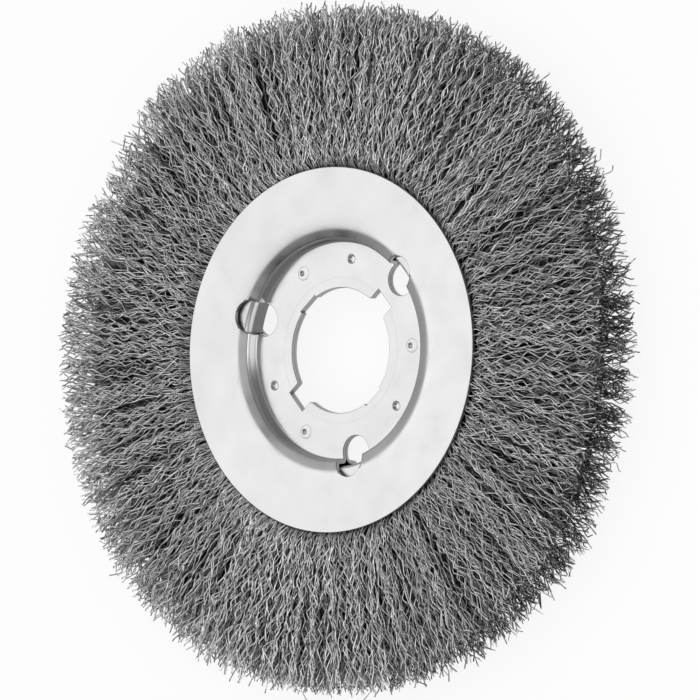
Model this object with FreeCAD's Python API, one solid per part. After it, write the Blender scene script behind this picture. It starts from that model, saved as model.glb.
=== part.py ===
import FreeCAD
import Part
import math
import os
import random

# Wire wheel brush: crimped steel wire in a channel ring, held between two pressed side plates.
# The wheel lies flat and its axis is Z. The origin is the centre of the bore, midway between
# the plates. +X runs along a keyway. Lengths are in millimetres and angles in degrees.

Vector = FreeCAD.Vector
CENTRE = Vector(0, 0, 0)
AXIS = Vector(0, 0, 1)

# Arbor bore, with two deep keyways on X and two shallow ones on Y
bore_d = 32.0
keyway_width = 6.3
keyway_floor = 19.4
keyway_corner = 0.5
shallow_width = 6.1
shallow_floor = 16.3

# Side plates: a flat hub, a step up and a dished annulus
plate_d = 93.0
plate_t = 1.0
hub_d = 55.8
wall_run = 1.3
wall_rise = 2.9
shoulder_run = 1.4
shoulder_rise = 0.9
dish_angle = 2.75

# Slots through both plates, across the step
slot_count = 3
slot_width = 8.35
slot_inside_step = 5.65
slot_outside_step = 5.0

# Pips that rivet the plates together, each plate's own pressed through the other
pip_inside_step = 4.5
pip_angle = 40.0
pip_d = 3.3
pip_flats = 8
pip_proud = 0.1
pip_clearance = 0.05
pit_d = 2.0
pit_floor_t = 0.5

# Channel ring between the plates, outside their steps
channel_width = 4.9
channel_depth = 5.7
channel_t = 0.7

# Retaining hoop inside the channel, drawn as straight lengths
hoop_wire_d = 1.6
hoop_lengths = 36
hoop_flats = 6

# Wire bundles, each folded over the hoop and opening into ridges of wire
wheel_d = 180.0
rim_width = 16.0
bundle_count = 26
ridges = 3
fold_t = 0.8
lip_gap = 0.5
bend_reach = 9.5
wave = 0.8
stray_share = 0.3
valley_share = 0.7
ridge_low_share = 0.86
tip_notch = 2.5
tip_spread = 4.0
seed = 7

# Clearance between pieces that are fitted into each other
fit = 0.1

bore_r = bore_d / 2
plate_r = plate_d / 2
hub_r = hub_d / 2
pip_x = hub_r - pip_inside_step


def offset(points, distance):
    """The open line through points (r, z), moved to its left by distance."""
    normals = []
    for (r0, z0), (r1, z1) in zip(points, points[1:]):
        length = math.hypot(r1 - r0, z1 - z0)
        normals.append(((z0 - z1) / length, (r1 - r0) / length))
    moved = []
    for (r, z), a, b in zip(points, normals[:1] + normals, normals + normals[-1:]):
        share = distance / (1 + a[0] * b[0] + a[1] * b[1])
        moved.append((r + share * (a[0] + b[0]), z + share * (a[1] + b[1])))
    return moved


# A plate's section (r, z): the hub, the wall of the step, its shoulder and the annulus
wall_top_r, wall_top_z = hub_r + wall_run, plate_t + wall_rise
shoulder_r, shoulder_z = wall_top_r + shoulder_run, wall_top_z + shoulder_rise
rim_z = shoulder_z + (plate_r - shoulder_r) * math.tan(math.radians(dish_angle))
plate_top = [
    (bore_r, plate_t),
    (hub_r, plate_t),
    (wall_top_r, wall_top_z),
    (shoulder_r, shoulder_z),
    (plate_r, rim_z),
]
plate_under = offset(plate_top, -plate_t)

# The channel's inner corners seat against the back of the plates' walls
channel_half = channel_width / 2
(under_r, under_z), (under_end_r, under_end_z) = plate_under[1:3]
under_slope = (under_end_r - under_r) / (under_end_z - under_z)
channel_inner = under_r + (channel_half - under_z) * under_slope + fit
channel_outer = channel_inner + channel_depth
channel_floor = channel_inner + channel_t
hoop_r = channel_floor + fit + fold_t + fit + hoop_wire_d / 2

# Heights of the wires, from the channel's mouth past the plates' lip to the bend
mouth_half = channel_half - channel_t - 2 * fit
bend_r = plate_r + bend_reach
lip_r, lip_z = plate_under[-1]
bend_half = mouth_half + (lip_z - lip_gap - mouth_half) * (bend_r - channel_outer) / (
    lip_r - channel_outer
)
middle_r = (bend_r + wheel_d / 2) / 2
middle_half = (bend_half + rim_width / 2) / 2

# Points across a bundle, from valley to ridge to valley
row_points = 2 * ridges + 1

# Stations along a bundle: distance from the axis, sideways wave and half height
stations = [
    (channel_outer, 0, mouth_half),
    (bend_r, wave, bend_half),
    (middle_r, -wave, middle_half),
    (wheel_d / 2, 0, rim_width / 2),
]


def point(r, z):
    """A point of a revolved section, in the XZ plane."""
    return Vector(r, 0, z)


def face(points):
    """The flat face inside a closed line of points."""
    return Part.Face(Part.makePolygon(points + points[:1]))


def revolved(section):
    """The solid that a closed section (r, z) makes when it turns about the axis."""
    return face([point(r, z) for r, z in section]).revolve(CENTRE, AXIS, 360)


def turned(shape, angle, about=AXIS):
    """A copy of the shape, turned about an axis through the origin."""
    copy = shape.copy()
    copy.rotate(CENTRE, about, angle)
    return copy


def around(shape, angle):
    """Copies of a shape that lies on X, one for each slot, the first turned to angle."""
    return [turned(shape, angle + step * 360 / slot_count) for step in range(slot_count)]


def bar_across(width, reach, height):
    """A bar through the axis, along X, of the full width and from -reach to reach."""
    return Part.makeBox(2 * reach, width, height, Vector(-reach, -width / 2, -height / 2))


def keyed_bore(height):
    """The tool that cuts the bore with its keyways."""
    tool = Part.makeCylinder(bore_r, height, Vector(0, 0, -height / 2))
    tool = tool.fuse(bar_across(keyway_width, keyway_floor, height))
    corners = []
    for edge in tool.Edges:
        middle = edge.BoundBox.Center
        upright = edge.BoundBox.ZLength > height / 2
        if upright and abs(math.hypot(middle.x, middle.y) - bore_r) < 0.01:
            corners.append(edge)
    tool = tool.makeChamfer(keyway_corner, corners)
    return tool.fuse(turned(bar_across(shallow_width, shallow_floor, height), 90))


def slot(height):
    """The tool for one radial slot with round ends, on X."""
    r = slot_width / 2
    inner, outer = hub_r - slot_inside_step + r, hub_r + slot_outside_step - r
    bar = Part.makeBox(outer - inner, slot_width, height, Vector(inner, -r, -height / 2))
    ends = [Part.makeCylinder(r, height, Vector(x, 0, -height / 2)) for x in (inner, outer)]
    return bar.fuse(ends).removeSplitter()


def stud(diameter, low, high):
    """A many-sided stud on the pip circle, at X, from z low to z high."""
    corners = []
    for step in range(pip_flats):
        angle = (step + 0.5) * 2 * math.pi / pip_flats
        x = pip_x + diameter / 2 * math.cos(angle)
        corners.append(Vector(x, diameter / 2 * math.sin(angle), low))
    return face(corners).extrude(Vector(0, 0, high - low))


def side_plate():
    """The front side plate. The rear one is the same pressing, turned over about X."""
    height = 2 * plate_d
    pip_end = -plate_t - pip_proud
    pip = stud(pip_d, pip_end, 0)
    pit = stud(pit_d, pip_end + pit_floor_t, 2 * plate_t)
    hole = stud(pip_d + 2 * pip_clearance, -plate_t, 2 * plate_t)
    disc = revolved(plate_top + plate_under[::-1])
    plate = disc.cut([keyed_bore(height)] + around(slot(height), 0))
    plate = plate.cut(around(hole, -pip_angle))
    return plate.fuse(around(pip, pip_angle)).cut(around(pit, pip_angle))


def channel_ring():
    """The rolled U-channel that is open outwards."""
    side = channel_half - channel_t
    return revolved(
        [
            (channel_inner, -channel_half),
            (channel_outer, -channel_half),
            (channel_outer, -side),
            (channel_floor, -side),
            (channel_floor, side),
            (channel_outer, side),
            (channel_outer, channel_half),
            (channel_inner, channel_half),
        ]
    )


def retaining_hoop():
    """The hoop of wire that every bundle is folded over."""
    rings = []
    for step in range(hoop_lengths):
        ring = []
        for flat in range(hoop_flats):
            angle = 2 * math.pi * flat / hoop_flats
            r = hoop_r + hoop_wire_d / 2 * math.cos(angle)
            spot = point(r, hoop_wire_d / 2 * math.sin(angle))
            ring.append(FreeCAD.Rotation(AXIS, 360 * step / hoop_lengths).multVec(spot))
        rings.append(ring)
    faces = []
    for here, there in zip(rings, rings[1:] + rings[:1]):
        for a, b, c, d in zip(here, here[1:] + here[:1], there[1:] + there[:1], there):
            faces.append(face([a, b, c, d]))
    return Part.Solid(Part.Shell(faces))


def bundle_half_width(x):
    """Half a bundle's width at x from the axis, with its clearance to the next bundle."""
    return x * math.tan(math.pi / bundle_count) - fit / 2


def fold():
    """A bundle's root: the wires that wrap the hoop, inside the channel."""
    back, high = channel_floor + fit, channel_half - channel_t - fit
    outline = []
    for x, side in ((back, -1), (channel_outer, -1), (channel_outer, 1), (back, 1)):
        outline.append(Vector(x, side * bundle_half_width(x), -high))
    block = face(outline).extrude(Vector(0, 0, 2 * high))
    eye, length = hoop_wire_d / 2 + fit, channel_outer
    bow = math.cos(math.pi / bundle_count) * math.cos(math.pi / hoop_lengths)
    inner, outer = (hoop_r - hoop_wire_d / 2) * bow - fit, hoop_r + eye
    corner = Vector(inner, -length / 2, -eye)
    return block.cut(Part.makeBox(outer - inner, length, 2 * eye, corner))


def triangles(a, b, c, d):
    """The two triangles of a four-cornered patch, which may be twisted."""
    return [face([a, b, c]), face([a, c, d])]


def ragged_tips(rng):
    """How far each valley and ridge of a bundle stops short of the wheel's edge."""
    tips = [rng.uniform(0, tip_spread) for _ in range(row_points)]
    tips[0] = tips[-1] = tip_spread / 2
    for valley in range(0, row_points, 2):
        tips[valley] += tip_notch
    return tips


def ridged_row(place, side, tips, rng):
    """A bundle's front or rear line of valleys and ridges at one station."""
    x, shift, half_height = stations[place]
    past_bend, at_tips = place > 1, place == len(stations) - 1
    row = []
    for number, tip in enumerate(tips):
        reach = x - tip if at_tips else x
        across, z = number / ridges - 1, half_height
        if 0 < number < row_points - 1 and place > 0:
            across += rng.uniform(-stray_share, stray_share) / ridges
        if past_bend:
            z *= rng.uniform(ridge_low_share, 1)
        if number % 2 == 0:
            z *= valley_share
        row.append(Vector(reach, across * bundle_half_width(reach) + shift, side * z))
    return row


def fan(rng):
    """A bundle's wires outside the channel: ridges of wire that end in ragged tips."""
    tips = ragged_tips(rng)
    places = range(len(stations))
    upper = [ridged_row(place, 1, tips, rng) for place in places]
    lower = [ridged_row(place, -1, tips, rng) for place in places]
    faces = [face(upper[0] + lower[0][::-1])]
    for rows in (upper, lower):
        for near, far in zip(rows, rows[1:]):
            for i in range(row_points - 1):
                faces += triangles(near[i], far[i], far[i + 1], near[i + 1])
    for i in (0, -1):
        for place in places[1:]:
            above, below = upper[place - 1 : place + 1], lower[place - 1 : place + 1]
            faces += triangles(above[0][i], above[1][i], below[1][i], below[0][i])
    for i in range(row_points - 1):
        faces += triangles(upper[-1][i], upper[-1][i + 1], lower[-1][i + 1], lower[-1][i])
    return Part.Solid(Part.Shell(faces))


def wire_bundle(rng):
    """One bundle of crimped wire, on X."""
    return fold().fuse(fan(rng))


def save(node, shape):
    """Write one node's solid."""
    shape.exportStep(os.path.join("parts", node + ".step"))


def main():
    os.makedirs("parts", exist_ok=True)
    front = side_plate()
    save("front_side_plate", front)
    save("rear_side_plate", turned(front, 180, Vector(1, 0, 0)))
    save("channel_ring", channel_ring())
    save("retaining_hoop", retaining_hoop())
    rng = random.Random(seed)
    for number in range(bundle_count):
        bundle = turned(wire_bundle(rng), (number + 0.5) * 360 / bundle_count)
        save("wire_bundle_%02d" % (number + 1), bundle)


main()
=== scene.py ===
import math

import bpy
import numpy as np
from mathutils import Matrix, Vector
from mathutils.geometry import delaunay_2d_cdt


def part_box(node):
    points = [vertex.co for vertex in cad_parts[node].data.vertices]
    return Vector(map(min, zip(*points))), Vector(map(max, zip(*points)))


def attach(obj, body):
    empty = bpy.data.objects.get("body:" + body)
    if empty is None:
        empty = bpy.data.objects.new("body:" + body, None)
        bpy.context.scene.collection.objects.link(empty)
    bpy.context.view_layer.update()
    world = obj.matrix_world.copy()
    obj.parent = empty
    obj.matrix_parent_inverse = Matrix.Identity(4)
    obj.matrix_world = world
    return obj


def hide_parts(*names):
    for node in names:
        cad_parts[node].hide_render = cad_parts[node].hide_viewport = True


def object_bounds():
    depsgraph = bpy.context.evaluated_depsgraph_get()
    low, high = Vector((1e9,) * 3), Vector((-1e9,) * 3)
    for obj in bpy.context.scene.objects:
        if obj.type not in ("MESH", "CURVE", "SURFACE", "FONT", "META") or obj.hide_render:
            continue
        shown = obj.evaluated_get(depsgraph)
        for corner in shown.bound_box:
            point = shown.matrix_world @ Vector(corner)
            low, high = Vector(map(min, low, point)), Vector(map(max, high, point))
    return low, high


# Wire wheel brush, lying flat on a pale floor with its axis on Z.
# The shapes are worked out in millimetres and written to the meshes in metres.

MM = 0.001

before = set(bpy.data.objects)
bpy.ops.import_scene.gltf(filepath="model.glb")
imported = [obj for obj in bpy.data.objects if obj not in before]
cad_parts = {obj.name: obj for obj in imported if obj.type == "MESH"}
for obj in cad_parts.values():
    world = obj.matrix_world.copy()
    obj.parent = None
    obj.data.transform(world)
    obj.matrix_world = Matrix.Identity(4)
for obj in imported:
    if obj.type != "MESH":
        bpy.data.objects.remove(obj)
cad_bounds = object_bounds()


def box_mm(node):
    """A node's lowest and highest corner in millimetres."""
    low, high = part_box(node)
    return np.array(low) / MM, np.array(high) / MM


# Sizes read from the frame
plate_r, _, rim_z = box_mm("front_side_plate")[1]
channel_outer = box_mm("channel_ring")[1][0]
hoop_outer, _, hoop_wire_r = box_mm("retaining_hoop")[1]
hoop_r = hoop_outer - hoop_wire_r
floor_z = cad_bounds[0].z / MM
bundle_names = sorted(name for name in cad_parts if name.startswith("wire_bundle"))
bundle_count = len(bundle_names)

# Side plates: bore, hub, step and dished annulus
bore_r = 16.0
keyway_half = 3.15
keyway_floor = 19.4
keyway_round = 0.7
shallow_half = 3.05
shallow_floor = 16.3
plate_t = 1.0
hub_r = 27.9
step_corners = ((28.1, 3.95), (31.4, 5.05), (33.6, 5.22))
step_bends = (0.5, 1.0, 10.0, 25.0)
edge_round = 0.14
slot_half = 4.175
slot_inner = 22.25
slot_outer = 32.9
slot_angles = (0, 120, 240)
pip_r = 23.4
pip_hole_r = 1.66
pit_angles = (40, 160, 280)
hole_angles = (80, 200, 320)

# Fineness: segments round the axis, of bends and keyway corners, points of the bore's quarter and
# of a slot's end, segments of the pip holes and pits, extra rings, the least gap of two rings, and
# the gap within which points are merged
ring_steps = 144
bend_steps = 5
corner_steps = 4
bore_points = 16
slot_points = 17
hole_steps = 24
pit_steps = 20
extra_rings = [20.5, 25.5, 34.0, 38.0, 42.0]
least_ring_gap = 0.025
merge_gap = 1e-5

# Least angle in degrees of an edge that is shaded as sharp
plate_sharp = 21
channel_sharp = 30

# Depth of the punch's pit and height of the pip, by distance from their centre
pit_line = ((0, 0.85), (0.72, 0.83), (0.95, 0.66), (1.12, 0.12), (1.3, 0.04), (1.8, 0))
pip_line = ((0, 1.02), (0.4, 1.03), (0.8, 1.06), (1.2, 1.05), (1.5, 1.03), (1.72, 0.985), (1.85, 0))

# Dent that the punch left in each pip: way off the centre, radius and depth
dent_offset = (-0.6, -0.5)
dent_r = 0.6
dent_depth = 0.35

# Channel ring
channel_inner = 29.7
channel_rise = 3.6
channel_t = 0.7
channel_round = 1.0

# Lowest and highest z of the soft line below which the channel's wall is painted darker: a painted
# shade
painted_shade_line = (1.0, 1.8)

# Wires: thickness, root, and where they end, with a few that stand out further
wire_r = 0.19
root_r = 44.0
root_spread = 2.0
tip_r = 86.9
tip_spread = 1.1
tip_limits = (83.5, 89.4)
lock_tip_spread = 0.7
long_share = 0.04
long_reach = (0.5, 2.6)

# Crimp: half waves, size, its change from wire to wire and from peak to peak, how far it tilts out
# of the face in radians, how far peaks shift and are rounded, and the run in which it sets in
half_waves = 13
crimp = 0.78
wire_crimp = (0.6, 1.25)
peak_crimp = (0.5, 1.35)
crimp_tilt = 1.2
peak_shift = 0.24
kink_round = 0.1
least_spot_gap = 0.02
onset = 4.0

# Slow roll of each wire up and down: its rise, its pace and the radius where it sets in
roll_rise = 0.6
roll_pace = (0.5, 1.0)
roll_root = 48.0

# Height of the outermost wires, and the roof that the plate is over them, by radius
outline_r = (35.5, 44.0, 46.4, 47.4, 48.8, 51.0, 56.0, 64.0, 76.0, 90.0)
outline_z = (1.4, 3.3, 4.25, 5.8, 6.6, 6.9, 7.0, 7.2, 7.4, 7.6)
roof_r = (35.5, 44.0, 46.5, 47.8)
roof_z = (1.4, 3.4, 4.2, 7.7)
rest_gap = 0.05

# Locks of wire on a face: how many, how uneven, how wide against their share of the bundle, how far
# they close up towards the tips, and the radius and run in which lean and wander set in
face_locks = 13
lock_shift = 0.5
lock_width = 1.5
lock_pinch = (-0.1, 0.3)
free_r = 46.0
free_run = 12.0

# Lean to one side and slow wander, of a lock and of each wire in it, the few wires that stray, and
# how far apart their wanders start in radians
lock_lean = 0.02
lock_wander = (0.1, 0.3)
lock_pace = (0.1, 0.2)
wire_lean = 0.12
wire_wander = (0.2, 0.9)
wire_pace = (0.06, 0.2)
stray_share = 0.06
stray_lean = 0.5
wander_start = 6.3

# Layers of wire on a face: wires to a lock, lowest and highest share of the bundle's height
top_layer = (3, 0.86, 1.0)
# The under layer takes a darker copy of the wire material: painted shade
under_layer = (3, 0.6, 0.84)

# How far the worn tips stand out past their mean, by angle round the wheel in degrees
tip_swells = (
    (0, 2.0), (30, -0.4), (65, -0.6), (90, 1.8), (105, -1.0), (120, 1.4), (135, 2.4), (165, 1.8),
    (195, 0.2), (225, -1.4), (240, -1.2), (270, -0.2), (285, 1.2), (300, -0.8), (315, 0.0), (335, 0.2),
    (360, 2.0),
)

# Wires between the faces, which show at the rim; they take the darker copy of the wire material, a
# painted shade
inner_wires = 98
inner_root = (66.0, 74.0)
inner_half_waves = 6
inner_lean = 0.08
inner_height = 0.92

# Packed core under the faces, a near-black form that is painted shade between the wires: radii, share
# of the bundle's height, lanes, unevenness along and down
core_r = (35.5, 42.0, 48.5, 55.5, 62.5, 69.5, 76.5, 82.5)
core_share = (0.95, 0.85, 0.78, 0.74, 0.7, 0.66, 0.58, 0.3)
core_lanes = 9
core_shift = 1.2
core_dip = 0.86

# Fold round the hoop: outer radius, gap to the hoop, points of its bend, gap to the next bundle
fold_outer = 1.45
fold_hoop_gap = 0.06
fold_points = 9
fold_side_gap = 0.05

# Where the random draws start
seed = 11

# Zinc-plated sheet: scales of its cloud, grain, smears, haze and waves, depth and strength of the
# grain and the waves, how far tone and roughness vary, and the rubbed ring round the bore
cloud_scale = 60
grain_scale = 900
grain_stretch = (1, 0.04, 1)
smear_scale = 90
haze_scale = 140
wave_scale = 45
grain_depth = 0.02
grain_strength = 0.25
wave_depth = 0.3
wave_strength = 0.2
sheet_tones = (-0.03, 0.02)
sheet_roughs = (-0.06, 0.08)
sheet_spread = (0.3, 0.7)
rub_r = 18.6
rub_half = 0.5
rub_depth = 0.07

# Drawn wire: scales of its tone and roughness, how far they vary, and how the streaks of packed
# wire run round the axis, along the radius and up
wire_tone_scale = 700
wire_rough_scale = 300
wire_roughs = (-0.08, 0.08)
wire_spread = (0.35, 0.65)
streak_paces = (150, 250, 900)

# The photograph's view: camera tilt off the axis, roll, distance and scale
view_tilt = math.radians(39.3)
view_turn = math.radians(-45.6)
view_roll = math.radians(3.45)
view_distance = 1950.0
view_scale = 3.927
view_pixels = 700
view_centre = (342.8, 350.4)
view_reach = 20.0
sensor = 36.0

# Floor and light tent. Sky levels go by the height of the direction. Each lobe brightens or dims a
# patch: direction (to the camera's side, up the picture, up), inner and outer radius, and level
floor_reach = 6.0
floor_tone = 0.95
floor_glow = 0.85
sky_stops = ((0.0, 0.1), (0.15, 0.2), (0.35, 0.27), (0.6, 0.25), (0.85, 0.18), (1.0, 0.25))
sky_lobes = (
    ("SUBTRACT", (-0.45, -0.4, 0.78), 14, 26, 0.2),
    ("ADD", (-0.55, 0, 0.835), 20, 27, 1.0),
    ("ADD", (-1, 0, 0.3), 18, 32, 0.13),
    ("ADD", (-0.6, 0.6, 0.45), 16, 32, 0.2),
    ("ADD", (0.05, 0, 1), 8, 20, 0.25),
    ("ADD", (1, 0, 0.86), 12, 22, 1.4),
    ("ADD", (1, 0, 0.0), 12, 24, 1.0),
)
sky_least = 0.04


def unit(vector):
    """A vector of length one."""
    return vector / np.linalg.norm(vector)


def polar(radius, angle):
    """The point at a radius and an angle in degrees."""
    turn = math.radians(angle)
    return np.array((radius * math.cos(turn), radius * math.sin(turn)))


def rounded_corner(before, corner, after, radius, steps):
    """Points of the arc that rounds a corner of a line."""
    before, corner, after = (np.array(p, float) for p in (before, corner, after))
    back, on = unit(before - corner), unit(after - corner)
    half = math.acos(np.clip(back @ on, -1, 1)) / 2
    centre = corner + unit(back + on) * radius / math.sin(half)
    start = corner + back * radius / math.tan(half) - centre
    end = corner + on * radius / math.tan(half) - centre
    sweep = math.atan2(start[0] * end[1] - start[1] * end[0], start @ end)
    points = []
    for step in range(steps + 1):
        turn = sweep * step / steps
        cos, sin = math.cos(turn), math.sin(turn)
        points.append(centre + (start[0] * cos - start[1] * sin, start[0] * sin + start[1] * cos))
    return points


def line_offset(line, distance):
    """An open line of points, moved to its left."""
    line = np.array(line)
    run = np.diff(line, axis=0)
    run /= np.linalg.norm(run, axis=1, keepdims=True)
    normal = np.stack((-run[:, 1], run[:, 0]), axis=1)
    first, second = np.vstack((normal[:1], normal)), np.vstack((normal, normal[-1:]))
    share = distance / (1 + (first * second).sum(axis=1, keepdims=True))
    return line + share * (first + second)


def loop_offset(loop, distance):
    """A closed loop of points, moved to its left."""
    return line_offset(np.vstack((loop[-1:], loop, loop[:1])), distance)[1:-1]


def inside(points, loop):
    """True for each point that lies inside a closed loop."""
    x, y = points[:, :1], points[:, 1:]
    x0, y0 = loop[:, 0], loop[:, 1]
    x1, y1 = np.roll(x0, -1), np.roll(y0, -1)
    spans = (y0 > y) != (y1 > y)
    rise = np.where(y1 == y0, 1, y1 - y0)
    crossings = spans & (x < x0 + (y - y0) * (x1 - x0) / rise)
    return crossings.sum(axis=1) % 2 == 1


def new_piece(name, vertices, faces, materials, indices=None):
    """A smooth mesh object from points in millimetres."""
    mesh = bpy.data.meshes.new(name)
    mesh.from_pydata((np.asarray(vertices) * MM).tolist(), [], faces)
    for material in materials:
        mesh.materials.append(material)
    if indices is not None:
        mesh.polygons.foreach_set("material_index", indices)
    mesh.polygons.foreach_set("use_smooth", [True] * len(mesh.polygons))
    mesh.validate()
    mesh.update()
    piece = bpy.data.objects.new(name, mesh)
    bpy.context.scene.collection.objects.link(piece)
    return piece


# Materials


def node_tree(material):
    """A material's cleared node tree with its output."""
    material.use_nodes = True
    tree = material.node_tree
    tree.nodes.clear()
    return tree, tree.nodes.new("ShaderNodeOutputMaterial")


def add_noise(tree, scale, detail, stretch=(1, 1, 1)):
    """A noise in the object's own space."""
    place = tree.nodes.new("ShaderNodeTexCoord")
    mapping = tree.nodes.new("ShaderNodeMapping")
    mapping.inputs["Scale"].default_value = stretch
    noise = tree.nodes.new("ShaderNodeTexNoise")
    noise.inputs["Scale"].default_value = scale
    noise.inputs["Detail"].default_value = detail
    tree.links.new(place.outputs["Object"], mapping.inputs["Vector"])
    tree.links.new(mapping.outputs["Vector"], noise.inputs["Vector"])
    return noise.outputs["Fac"]


def add_range(tree, value, start, end, low, high):
    """A value mapped from one range to another."""
    node = tree.nodes.new("ShaderNodeMapRange")
    for socket, number in zip(("From Min", "From Max", "To Min", "To Max"), (start, end, low, high)):
        node.inputs[socket].default_value = number
    tree.links.new(value, node.inputs["Value"])
    return node.outputs["Result"]


def add_math(tree, operation, first, second):
    """A sum, product or other operation on two values."""
    node = tree.nodes.new("ShaderNodeMath")
    node.operation = operation
    for socket, value in zip(node.inputs, (first, second)):
        if isinstance(value, (int, float)):
            socket.default_value = value
        else:
            tree.links.new(value, socket)
    return node.outputs["Value"]


def add_bump(tree, height, distance, strength, normal=None):
    """A bump from a height."""
    node = tree.nodes.new("ShaderNodeBump")
    node.inputs["Strength"].default_value = strength
    node.inputs["Distance"].default_value = distance
    tree.links.new(height, node.inputs["Height"])
    if normal is not None:
        tree.links.new(normal, node.inputs["Normal"])
    return node.outputs["Normal"]


def place_parts(tree):
    """The X, Y and Z of the place on the object."""
    place = tree.nodes.new("ShaderNodeTexCoord")
    parts = tree.nodes.new("ShaderNodeSeparateXYZ")
    tree.links.new(place.outputs["Object"], parts.inputs["Vector"])
    return parts.outputs


def radius_of(tree):
    """The distance from the brush's axis."""
    parts = place_parts(tree)
    squares = [add_math(tree, "POWER", parts[axis], 2) for axis in ("X", "Y")]
    return add_math(tree, "SQRT", add_math(tree, "ADD", *squares), 0)


def band(tree, radius, middle, half):
    """One on a circle about the axis, fading to nothing at a distance of half."""
    away = add_math(tree, "ABSOLUTE", add_math(tree, "SUBTRACT", radius, middle * MM), 0)
    return add_range(tree, away, 0, half * MM, 1, 0)


def new_metal(name):
    """A material with its node tree and a metallic shader."""
    material = bpy.data.materials.new(name)
    tree, output = node_tree(material)
    shader = tree.nodes.new("ShaderNodeBsdfPrincipled")
    shader.inputs["Metallic"].default_value = 1
    tree.links.new(shader.outputs["BSDF"], output.inputs["Surface"])
    return material, tree, shader


def link_grey(tree, tone, shader):
    """A tone as the shader's colour."""
    colour = tree.nodes.new("ShaderNodeCombineColor")
    for channel in ("Red", "Green", "Blue"):
        tree.links.new(tone, colour.inputs[channel])
    tree.links.new(colour.outputs["Color"], shader.inputs["Base Color"])


def zinc_steel(name, tone, rough, painted_shade_share=1):
    """Bright zinc-plated sheet: cloudy tone, rolling grain, a rubbed ring round the bore.

    Below the shade line its tone is multiplied by the given share, which paints a shade on the
    surface.
    """
    material, tree, shader = new_metal(name)
    cloud = add_noise(tree, cloud_scale, 4)
    tone_value = add_range(tree, cloud, *sheet_spread, *(tone + change for change in sheet_tones))
    ring = band(tree, radius_of(tree), rub_r, rub_half)
    rubbed = add_math(tree, "MULTIPLY", ring, add_noise(tree, smear_scale, 2))
    tone_value = add_math(tree, "SUBTRACT", tone_value, add_math(tree, "MULTIPLY", rubbed, rub_depth))
    # Painted shade: the tone is darkened below the shade line
    if painted_shade_share < 1:
        low, high = (height * MM for height in painted_shade_line)
        share = add_range(tree, place_parts(tree)["Z"], low, high, painted_shade_share, 1)
        tone_value = add_math(tree, "MULTIPLY", tone_value, share)
    link_grey(tree, tone_value, shader)
    haze = add_noise(tree, haze_scale, 5)
    rough_value = add_range(tree, haze, *sheet_spread, *(rough + change for change in sheet_roughs))
    tree.links.new(rough_value, shader.inputs["Roughness"])
    grain = add_noise(tree, grain_scale, 3, grain_stretch)
    normal = add_bump(tree, grain, grain_depth * MM, grain_strength)
    waves = add_noise(tree, wave_scale, 3)
    normal = add_bump(tree, waves, wave_depth * MM, wave_strength, normal)
    tree.links.new(normal, shader.inputs["Normal"])
    return material


def add_streaks(tree):
    """A noise drawn out along the radii, for wires that are packed side by side."""
    parts = place_parts(tree)
    turn = add_math(tree, "ARCTAN2", parts["Y"], parts["X"])
    spot = tree.nodes.new("ShaderNodeCombineXYZ")
    for socket, value, pace in zip("XYZ", (turn, radius_of(tree), parts["Z"]), streak_paces):
        tree.links.new(add_math(tree, "MULTIPLY", value, pace), spot.inputs[socket])
    noise = tree.nodes.new("ShaderNodeTexNoise")
    noise.inputs["Scale"].default_value = 1
    noise.inputs["Detail"].default_value = 1
    tree.links.new(spot.outputs["Vector"], noise.inputs["Vector"])
    return noise.outputs["Fac"]


def wire_steel(name, low, high, rough, streaked=False):
    """Drawn steel wire, its tone changing from wire to wire."""
    material, tree, shader = new_metal(name)
    pattern = add_streaks(tree) if streaked else add_noise(tree, wire_tone_scale, 2)
    link_grey(tree, add_range(tree, pattern, *wire_spread, low, high), shader)
    haze = add_noise(tree, wire_rough_scale, 2)
    rough_value = add_range(tree, haze, *sheet_spread, *(rough + change for change in wire_roughs))
    tree.links.new(rough_value, shader.inputs["Roughness"])
    return material


plate_steel = zinc_steel("plate_zinc_steel", tone=0.71, rough=0.2)
cut_edge = zinc_steel("sheared_plate_edge", tone=0.4, rough=0.42)
# The channel's wall carries a painted shade below the shade line
channel_steel_painted_shade = zinc_steel("channel_bright_steel_painted_shade", tone=0.75, rough=0.3, painted_shade_share=0.25)
bright_wire = wire_steel("crimped_steel_wire", low=0.9, high=1.0, rough=0.13)
# A darker copy of the wire for the under layer and the wires between the faces: painted shade
under_wire_painted_shade = wire_steel("crimped_wire_painted_shade", low=0.32, high=0.7, rough=0.22)
# Near-black wire for the packed core, the fold and the hoop: painted shade deep in the brush
deep_wire_painted_shade = wire_steel("packed_wire_painted_shade", low=0, high=0.16, rough=0.6, streaked=True)


# Side plates


def plate_section():
    """A plate's top line and under line (r, z), with round bends."""
    corners = [(bore_r - 1, plate_t), (hub_r, plate_t), *step_corners, (plate_r, rim_z)]
    top = [np.array(corners[0])]
    for before, corner, after, bend in zip(corners, corners[1:], corners[2:], step_bends):
        top += rounded_corner(before, corner, after, bend, bend_steps)
    top = np.array(top + [corners[-1]])
    return top, line_offset(top, -plate_t)


def bore_outline():
    """The bore with two deep keyways on X and two shallow ones on Y."""
    corner = np.array((math.sqrt(bore_r**2 - keyway_half**2), keyway_half))
    floor = (keyway_floor, keyway_half)
    tangent = corner + (-corner[1], corner[0])
    quarter = [np.array(floor)]
    quarter += rounded_corner(floor, corner, tangent, keyway_round, corner_steps)
    start = math.degrees(math.atan2(quarter[-1][1], quarter[-1][0]))
    end = 90 - math.degrees(math.asin(shallow_half / bore_r))
    quarter += [polar(bore_r, angle) for angle in np.linspace(start, end, bore_points)[1:]]
    quarter += [np.array((shallow_half, shallow_floor))]
    quarter = np.array(quarter)
    half = np.vstack((quarter, quarter[::-1] * (-1, 1)))
    return np.vstack((half, -half))


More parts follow.
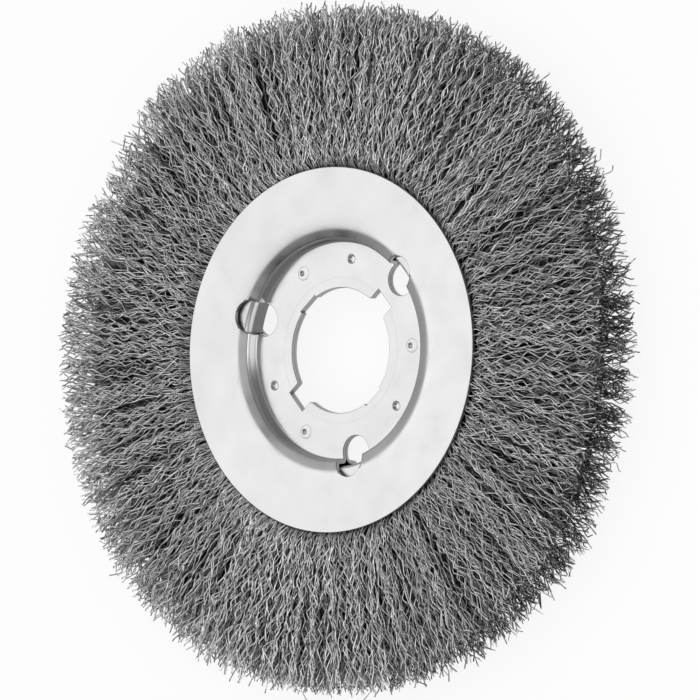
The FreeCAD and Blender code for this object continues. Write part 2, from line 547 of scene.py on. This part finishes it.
def slot_outline(angle):
    """A radial slot with round ends."""
    spots = [(slot_outer - slot_half, turn) for turn in np.linspace(-90, 90, slot_points)]
    spots += [(slot_inner + slot_half, turn) for turn in np.linspace(90, 270, slot_points)]
    turn_on = math.radians(angle)
    along = np.array((math.cos(turn_on), math.sin(turn_on)))
    return np.array([along * x + polar(slot_half, angle + turn) for x, turn in spots])


def circle(centre, radius, steps):
    """Points round a circle."""
    return np.array([centre + polar(radius, 360 * step / steps) for step in range(steps)])


def depth_at(plan, line, dented):
    """The depth of the pits or the height of the pips at each point of the plan."""
    depth = np.zeros(len(plan))
    for angle in pit_angles:
        centre = polar(pip_r, angle)
        away = np.linalg.norm(plan - centre, axis=1)
        depth += np.interp(away, [d for d, _ in line], [h for _, h in line])
        if dented:
            off = np.linalg.norm(plan - centre - dent_offset, axis=1)
            depth -= dent_depth * np.exp(-((off / dent_r) ** 2))
    return depth


def plate_mesh():
    """Points and faces of the front plate: a plan that is lifted to its two faces."""
    top, under = plate_section()
    cuts = [bore_outline()] + [slot_outline(angle) for angle in slot_angles]
    cuts += [circle(polar(pip_r, angle), pip_hole_r, hole_steps) for angle in hole_angles]
    cuts = [loop_offset(cut, -edge_round) for cut in cuts]
    radii = sorted(set(np.round(np.concatenate((top[1:-1, 0], under[1:-1, 0])), 2)))
    radii = [r for r, after in zip(radii, radii[1:] + [plate_r]) if after - r > least_ring_gap]
    radii += extra_rings
    rings = [circle((0, 0), r, ring_steps) for r in radii + [plate_r - edge_round]]
    for angle in pit_angles:
        marks = {distance for distance, _ in pit_line + pip_line if distance > 0}
        rings += [circle(polar(pip_r, angle), mark, pit_steps) for mark in sorted(marks)]
    points, edges = [], []
    for loop in cuts + rings:
        first = len(points)
        points += [Vector(p) for p in loop]
        edges += [(first + i, first + (i + 1) % len(loop)) for i in range(len(loop))]
    plan, _, triangles, *_ = delaunay_2d_cdt(points, edges, [], 0, merge_gap)
    plan, triangles = np.array([tuple(p) for p in plan]), np.array(triangles)
    middles = plan[triangles].mean(axis=1)
    kept = ~np.any([inside(middles, cut) for cut in cuts], axis=0)
    triangles = triangles[kept]
    used = np.unique(triangles)
    plan = plan[used]
    triangles = np.searchsorted(used, triangles)
    a, b, c = plan[triangles[:, 0]], plan[triangles[:, 1]], plan[triangles[:, 2]]
    flipped = (b[:, 0] - a[:, 0]) * (c[:, 1] - a[:, 1]) < (b[:, 1] - a[:, 1]) * (c[:, 0] - a[:, 0])
    triangles[flipped] = triangles[flipped][:, ::-1]

    def lifted(spots, on_top, drop):
        """Points on the top or under face of the plate, drop below it."""
        line, form = (top, pit_line) if on_top else (under, pip_line)
        z = np.interp(np.linalg.norm(spots, axis=1), line[:, 0], line[:, 1])
        return np.column_stack((spots, z - depth_at(spots, form, not on_top) - drop))

    loops = border_loops(triangles)
    count = len(plan)
    points = [lifted(plan, True, 0), lifted(plan, False, 0)]
    faces = triangles.tolist() + (triangles[:, ::-1] + count).tolist()
    indices = [0] * len(faces)
    total = 2 * count
    for loop in loops:
        outward = loop_offset(plan[loop], -1) - plan[loop]
        rows = [np.array(loop)]
        for turn, on_top in ((45, True), (90, True), (90, False), (45, False)):
            out = edge_round * math.sin(math.radians(turn))
            drop = (1 if on_top else -1) * edge_round * (1 - math.cos(math.radians(turn)))
            points.append(lifted(plan[loop] + outward * out, on_top, drop))
            rows.append(np.arange(len(loop)) + total)
            total += len(loop)
        rows.append(np.array(loop) + count)
        for above, below in zip(rows, rows[1:]):
            quads = np.stack((np.roll(above, -1), above, below, np.roll(below, -1)), axis=1)
            faces += quads.tolist()
    indices += [1] * (len(faces) - len(indices))
    return np.vstack(points), faces, indices


def border_loops(triangles):
    """The open edges of a flat mesh, as closed loops with the mesh on their left."""
    edges = {(t[i], t[(i + 1) % 3]) for t in triangles.tolist() for i in range(3)}
    following = {a: b for a, b in edges if (b, a) not in edges}
    loops = []
    while following:
        first, vertex = following.popitem()
        loop = [first]
        while vertex != first:
            loop.append(vertex)
            vertex = following.pop(vertex)
        loops.append(loop)
    return loops


def make_plates():
    """Both side plates, the rear one turned over about X."""
    points, faces, indices = plate_mesh()
    for name, node, turn in (
        ("front_plate_pressing", "front_side_plate", (1, 1, 1)),
        ("rear_plate_pressing", "rear_side_plate", (1, -1, -1)),
    ):
        piece = new_piece(name, points * turn, faces, [plate_steel, cut_edge], indices)
        piece.data.set_sharp_from_angle(angle=math.radians(plate_sharp))
        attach(piece, "root")
        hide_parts(node)


# Channel ring


def spun(section, steps):
    """Points and faces of a closed section (r, z) that is turned about the axis."""
    section = np.array(section)
    turns = np.arange(steps) * 2 * math.pi / steps
    points = np.stack(
        (
            np.outer(np.cos(turns), section[:, 0]),
            np.outer(np.sin(turns), section[:, 0]),
            np.tile(section[:, 1], (steps, 1)),
        ),
        axis=2,
    ).reshape(-1, 3)
    count = len(section)
    here = np.arange(steps * count).reshape(steps, count)
    there = np.roll(here, -1, axis=0)
    faces = np.stack((here, there, np.roll(there, -1, axis=1), np.roll(here, -1, axis=1)), axis=2)
    return points, faces.reshape(-1, 4).tolist()


def make_channel():
    """The rolled channel with round bends, open outwards."""
    high, inner = channel_rise, channel_inner
    foot, head = np.array((channel_outer, -high)), np.array((channel_outer, high))
    lower = rounded_corner(foot, (inner, -high), (inner, 0), channel_round, bend_steps)
    upper = rounded_corner((inner, 0), (inner, high), head, channel_round, bend_steps)
    outer_line = [foot, *lower, *upper, head]
    inner_line = line_offset(outer_line, -channel_t)
    points, faces = spun(np.vstack((outer_line, inner_line[::-1])), ring_steps)
    piece = new_piece("rolled_channel", points, faces, [channel_steel_painted_shade])
    piece.data.set_sharp_from_angle(angle=math.radians(channel_sharp))
    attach(piece, "root")
    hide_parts("channel_ring")


# Wires


def tubes(paths, rolls, first):
    """Points and faces of closed three-sided tubes along paths (wire, ring, xyz)."""
    wires, rings, _ = paths.shape
    run = np.gradient(paths, axis=1)
    run /= np.linalg.norm(run, axis=2, keepdims=True)
    side = np.cross(run, (0, 0, 1))
    side /= np.linalg.norm(side, axis=2, keepdims=True)
    lift = np.cross(side, run)
    points = []
    for corner in range(3):
        turn = (rolls + corner * 2 * math.pi / 3)[:, None, None]
        points.append(paths + wire_r * (np.cos(turn) * side + np.sin(turn) * lift))
    points = np.stack(points, axis=2).reshape(-1, 3)
    index = first + np.arange(wires * rings * 3).reshape(wires, rings, 3)
    here, there = index[:, :-1], index[:, 1:]
    quads = np.stack((here, there, np.roll(there, -1, axis=2), np.roll(here, -1, axis=2)), axis=3)
    faces = quads.reshape(-1, 4).tolist()
    faces += index[:, 0].tolist() + index[:, -1, ::-1].tolist()
    return points, faces


def crimped(rng, start, end, waves, plane, size):
    """Radii, sideways and upward shifts of crimped wires, two rings to each rounded peak.

    The spots are places along a wire, counted in half waves.
    """
    count, peak_count = len(start), waves + 1
    peaks = np.arange(peak_count) + rng.uniform(-peak_shift, peak_shift, (count, peak_count))
    phase = rng.uniform(0, 1, (count, 1))
    spots = np.repeat(peaks, 2, axis=1) + np.tile((-kink_round, kink_round), peak_count)
    spots = np.clip(spots - phase + 0.5, 0, waves)
    spots = np.sort(spots + np.linspace(0, least_spot_gap, spots.shape[1]), axis=1)
    radius = start[:, None] + (end - start)[:, None] * spots / spots[:, -1:]
    kinks = np.repeat(rng.uniform(*peak_crimp, (count, peak_count)), 2, axis=1)
    first_way = rng.choice((-1, 1), (count, 1))
    swing = first_way * np.tile((1, 1, -1, -1), waves)[: 2 * peak_count] * size[:, None] * kinks
    swing = swing * np.clip((radius - root_r) / onset, 0, 1)
    return radius, swing * np.cos(plane)[:, None], swing * np.sin(plane)[:, None]


def wire_paths(rng, count, side_way, height, start, end, waves, drift):
    """Paths of wires of one bundle that lies on X. side_way and height run from -1 to 1."""
    plane = rng.uniform(-crimp_tilt, crimp_tilt, count)
    size = crimp * rng.uniform(*wire_crimp, count)
    radius, across, up = crimped(rng, start, end, waves, plane, size)
    spread = radius * math.tan(math.pi / bundle_count)
    y = side_way[:, None] * spread + across + drift(radius)
    z = height[:, None] * np.interp(radius, outline_r, outline_z) + up
    roll_start = rng.uniform(0, 2 * math.pi, (count, 1))
    roll = np.sin(radius * rng.uniform(*roll_pace, (count, 1)) + roll_start)
    z = z + roll_rise * roll * np.clip((radius - roll_root) / onset, 0, 1)
    roof = np.minimum(np.interp(radius, roof_r, roof_z), -floor_z - wire_r - rest_gap)
    z = np.clip(z, -roof, roof)
    turn = y / radius
    return np.stack((radius * np.cos(turn), radius * np.sin(turn), z), axis=2)


def tip_radii(rng, count, turn, lock_out=0):
    """Where wires end, in a bundle at an angle round the wheel."""
    swell = np.interp(turn % 360, [angle for angle, _ in tip_swells], [out for _, out in tip_swells])
    ends = np.clip(rng.normal(tip_r, tip_spread, count) + swell + lock_out, *tip_limits)
    return ends + np.where(rng.random(count) < long_share, rng.uniform(*long_reach, count), 0)


def face_lock(rng, number, side, layer, turn):
    """The wires of one lock in a layer of the front or rear face."""
    count, low, high = layer
    middle = -1 + (2 * number + 1 + rng.uniform(-lock_shift, lock_shift)) / face_locks
    within = rng.uniform(-1, 1, count)
    lean = rng.normal(0, lock_lean)
    own_lean = rng.normal(0, wire_lean, count)
    strays = rng.random(count) < stray_share
    own_lean = np.where(strays, rng.uniform(-stray_lean, stray_lean, count), own_lean)
    wander = rng.uniform(*lock_wander)
    own_wander = rng.uniform(*wire_wander, count)
    begin, own_begin = rng.uniform(0, wander_start), rng.uniform(0, wander_start, count)
    pace, own_pace = rng.uniform(*lock_pace), rng.uniform(*wire_pace, count)
    pinch = rng.uniform(*lock_pinch)

    def drift(radius):
        """The lock's wander and lean, each wire's own, and the lock closing up at its tips."""
        out = np.clip((radius - free_r) / free_run, 0, 1)
        lock_half = radius * math.tan(math.pi / bundle_count) / face_locks
        waves = wander * np.sin(radius * pace + begin)
        waves = waves + own_wander[:, None] * np.sin(radius * own_pace[:, None] + own_begin[:, None])
        lean_by = (lean + own_lean[:, None]) * (radius - root_r)
        return within[:, None] * lock_half * (lock_width - pinch * out) + (waves + lean_by) * out

    side_way, height = np.full(count, middle), side * rng.uniform(low, high, count)
    start = rng.uniform(root_r - root_spread, root_r, count)
    end = tip_radii(rng, count, turn, rng.normal(0, lock_tip_spread))
    return wire_paths(rng, count, side_way, height, start, end, half_waves, drift)


def inner_wires_of(rng, turn):
    """The wires between the faces, which show at the rim."""
    count = inner_wires
    lean = rng.normal(0, inner_lean, count)

    def drift(radius):
        """Each wire's own lean."""
        return lean[:, None] * (radius - inner_root[0])

    side_way = rng.uniform(-1, 1, count)
    height = rng.uniform(-inner_height, inner_height, count)
    start, end = rng.uniform(*inner_root, count), tip_radii(rng, count, turn)
    return wire_paths(rng, count, side_way, height, start, end, inner_half_waves, drift)


def packed_core(rng, first):
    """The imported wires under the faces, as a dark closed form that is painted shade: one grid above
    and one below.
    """
    stations = np.array(core_r)
    shape = len(stations), core_lanes
    cells = shape[0] * shape[1]
    height = np.interp(stations, outline_r, outline_z) * core_share
    uneven = rng.uniform(-core_shift, core_shift, shape)
    radius = stations[:, None] + uneven * (stations > stations[0])[:, None]
    turn = np.tile(np.linspace(-1, 1, core_lanes) * math.pi / bundle_count, (shape[0], 1))
    points = []
    for side in (1, -1):
        z = side * height[:, None] * rng.uniform(core_dip, 1, shape)
        points.append(np.stack((radius * np.cos(turn), radius * np.sin(turn), z), axis=2))
    above, below = np.arange(2 * cells).reshape(2, *shape) + first
    faces = []
    for grid, flip in ((above, 1), (below, -1)):
        quads = np.stack((grid[:-1, :-1], grid[1:, :-1], grid[1:, 1:], grid[:-1, 1:]), axis=2)
        faces += quads.reshape(-1, 4)[:, ::flip].tolist()
    border = [*above[0], *above[1:, -1], *above[-1, -2::-1], *above[-2:0:-1, 0]]
    for a, b in zip(border, border[1:] + border[:1]):
        faces.append([int(a), int(b), int(b + cells), int(a + cells)])
    return np.vstack([p.reshape(-1, 3) for p in points]), faces


def fold_strap(first):
    """The wires that wrap the hoop, inside the channel."""
    inner, mouth = hoop_wire_r + fold_hoop_gap, channel_outer
    turns = np.linspace(90, 270, fold_points)
    centre = np.array((hoop_r, 0))
    section = [(mouth, fold_outer)] + [centre + polar(fold_outer, turn) for turn in turns]
    section += [(mouth, -fold_outer), (mouth, -inner)]
    section += [centre + polar(inner, turn) for turn in turns[::-1]] + [(mouth, inner)]
    section = np.array(section)
    half = section[:, 0] * math.tan(math.pi / bundle_count) - fold_side_gap
    points = [np.column_stack((section[:, 0], side * half, section[:, 1])) for side in (-1, 1)]
    count = len(section)
    near = np.arange(count) + first
    far = near + count
    faces = np.stack((near, np.roll(near, -1), np.roll(far, -1), far), axis=1).tolist()
    for row, flip in ((near, -1), (far, 1)):
        for i in range(count // 2 - 1):
            quad = [row[i], row[i + 1], row[count - 2 - i], row[count - 1 - i]]
            faces.append([int(v) for v in quad[::flip]])
    return np.vstack(points), faces


def make_bundle(number, name):
    """One bundle: its fold, its packed core and its crimped wires."""
    rng = np.random.default_rng(seed + number)
    turn = (number + 0.5) * 360 / bundle_count
    groups = []
    # The top layer takes the plain wire and the under layer the darker copy, a painted shade
    for index, layer in enumerate((top_layer, under_layer)):
        for side in (1, -1):
            for lock in range(face_locks):
                groups.append((index, face_lock(rng, lock, side, layer, turn)))
    # The wires between the faces take the darker copy too: painted shade
    groups.append((1, inner_wires_of(rng, turn)))
    points, faces, indices, first = [], [], [], 0
    for index, paths in groups:
        made, shapes = tubes(paths, rng.uniform(0, 2, len(paths)), first)
        points.append(made)
        faces += shapes
        indices += [index] * len(shapes)
        first += len(made)
    core, core_faces = packed_core(rng, first)
    fold, fold_faces = fold_strap(first + len(core))
    points += [core, fold]
    faces += core_faces + fold_faces
    # The core and the fold are drawn near-black: painted shade
    indices += [2] * len(core_faces + fold_faces)
    rotation = Matrix.Rotation(math.radians(turn), 3, "Z")
    points = np.vstack(points) @ np.array(rotation).T
    materials = [bright_wire, under_wire_painted_shade, deep_wire_painted_shade]
    piece = new_piece("wires_%02d" % (number + 1), points, faces, materials, indices)
    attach(piece, "root")
    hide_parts(name)


# Camera, floor and light


def make_camera():
    """The photograph's view, from the right of the axis and above."""
    across = Vector((math.cos(view_turn), math.sin(view_turn), 0))
    upward = Vector((-across.y, across.x, 0))
    back = math.sin(view_tilt) * across + math.cos(view_tilt) * Vector((0, 0, 1))
    narrow = math.cos(view_tilt) * across - math.sin(view_tilt) * Vector((0, 0, 1))
    right = math.cos(view_roll) * narrow + math.sin(view_roll) * upward
    up = math.cos(view_roll) * upward - math.sin(view_roll) * narrow
    middle = view_pixels / 2
    aim = (middle - view_centre[0]) * right - (middle - view_centre[1]) * up
    place = back * view_distance + aim / view_scale
    data = bpy.data.cameras.new("camera")
    data.sensor_width = sensor
    data.lens = view_scale * view_distance / view_pixels * sensor
    data.clip_end = view_reach
    camera = bpy.data.objects.new("camera", data)
    turn = Matrix((right, up, back)).transposed().to_4x4()
    camera.matrix_world = Matrix.Translation(place * MM) @ turn
    bpy.context.scene.collection.objects.link(camera)
    bpy.context.scene.camera = camera


def make_floor():
    """A wide pale floor under the brush, which keeps its shadow."""
    signs = ((-1, -1), (1, -1), (1, 1), (-1, 1))
    corners = [(x * floor_reach, y * floor_reach, floor_z * MM) for x, y in signs]
    mesh = bpy.data.meshes.new("floor")
    mesh.from_pydata(corners, [], [(0, 1, 2, 3)])
    material = bpy.data.materials.new("pale_floor")
    tree, output = node_tree(material)
    diffuse = tree.nodes.new("ShaderNodeBsdfDiffuse")
    diffuse.inputs["Color"].default_value = (floor_tone, floor_tone, floor_tone, 1)
    white = tree.nodes.new("ShaderNodeEmission")
    rays = tree.nodes.new("ShaderNodeLightPath")
    seen = add_math(tree, "MAXIMUM", rays.outputs["Is Camera Ray"], rays.outputs["Is Glossy Ray"])
    seen = add_math(tree, "MAXIMUM", seen, rays.outputs["Is Transmission Ray"])
    mix = tree.nodes.new("ShaderNodeMixShader")
    tree.links.new(add_math(tree, "MULTIPLY", seen, floor_glow), mix.inputs["Fac"])
    tree.links.new(diffuse.outputs["BSDF"], mix.inputs[1])
    tree.links.new(white.outputs["Emission"], mix.inputs[2])
    tree.links.new(mix.outputs["Shader"], output.inputs["Surface"])
    mesh.materials.append(material)
    floor = bpy.data.objects.new("floor", mesh)
    bpy.context.scene.collection.objects.link(floor)


def sky_lobe(tree, direction, toward, full, none, level):
    """A patch of sky about a direction (along u, along v, up), with a soft border in degrees."""
    across = Vector((math.cos(view_turn), math.sin(view_turn), 0))
    middle = direction[0] * across + direction[1] * Vector((-across.y, across.x, 0))
    middle.z = direction[2]
    dot = tree.nodes.new("ShaderNodeVectorMath")
    dot.operation = "DOT_PRODUCT"
    dot.inputs[1].default_value = middle.normalized()
    tree.links.new(toward, dot.inputs[0])
    edges = [math.cos(math.radians(angle)) for angle in (none, full)]
    return add_range(tree, dot.outputs["Value"], *edges, 0, level)


def make_world():
    """A light tent, white overhead on the side that the plates mirror, with dim low sides."""
    world = bpy.data.worlds.new("light_tent")
    world.use_nodes = True
    tree = world.node_tree
    tree.nodes.clear()
    toward = tree.nodes.new("ShaderNodeTexCoord").outputs["Generated"]
    parts = tree.nodes.new("ShaderNodeSeparateXYZ")
    tree.links.new(toward, parts.inputs["Vector"])
    ramp = tree.nodes.new("ShaderNodeValToRGB")
    elements = ramp.color_ramp.elements
    while len(elements) < len(sky_stops):
        elements.new(0.5)
    for element, (spot, level) in zip(elements, sky_stops):
        element.position = spot
        element.color = (level, level, level, 1)
    tree.links.new(parts.outputs["Z"], ramp.inputs["Fac"])
    light = ramp.outputs["Color"]
    for operation, *lobe in sky_lobes:
        patch = sky_lobe(tree, lobe[0], toward, *lobe[1:])
        light = add_math(tree, operation, light, patch)
    light = add_math(tree, "MAXIMUM", light, sky_least)
    rays = tree.nodes.new("ShaderNodeLightPath")
    plain = add_math(tree, "MAXIMUM", rays.outputs["Is Camera Ray"], rays.outputs["Is Diffuse Ray"])
    back = tree.nodes.new("ShaderNodeBackground")
    output = tree.nodes.new("ShaderNodeOutputWorld")
    tree.links.new(add_math(tree, "MAXIMUM", light, plain), back.inputs["Strength"])
    back.inputs["Color"].default_value = (1, 1, 1, 1)
    tree.links.new(back.outputs["Background"], output.inputs["Surface"])
    bpy.context.scene.world = world


make_camera()
make_floor()
make_world()
make_plates()
make_channel()
for number, name in enumerate(bundle_names):
    make_bundle(number, name)
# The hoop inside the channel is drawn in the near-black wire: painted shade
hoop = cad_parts["retaining_hoop"]
hoop.data.materials.clear()
hoop.data.materials.append(deep_wire_painted_shade)
bpy.context.scene.view_settings.view_transform = "Standard"
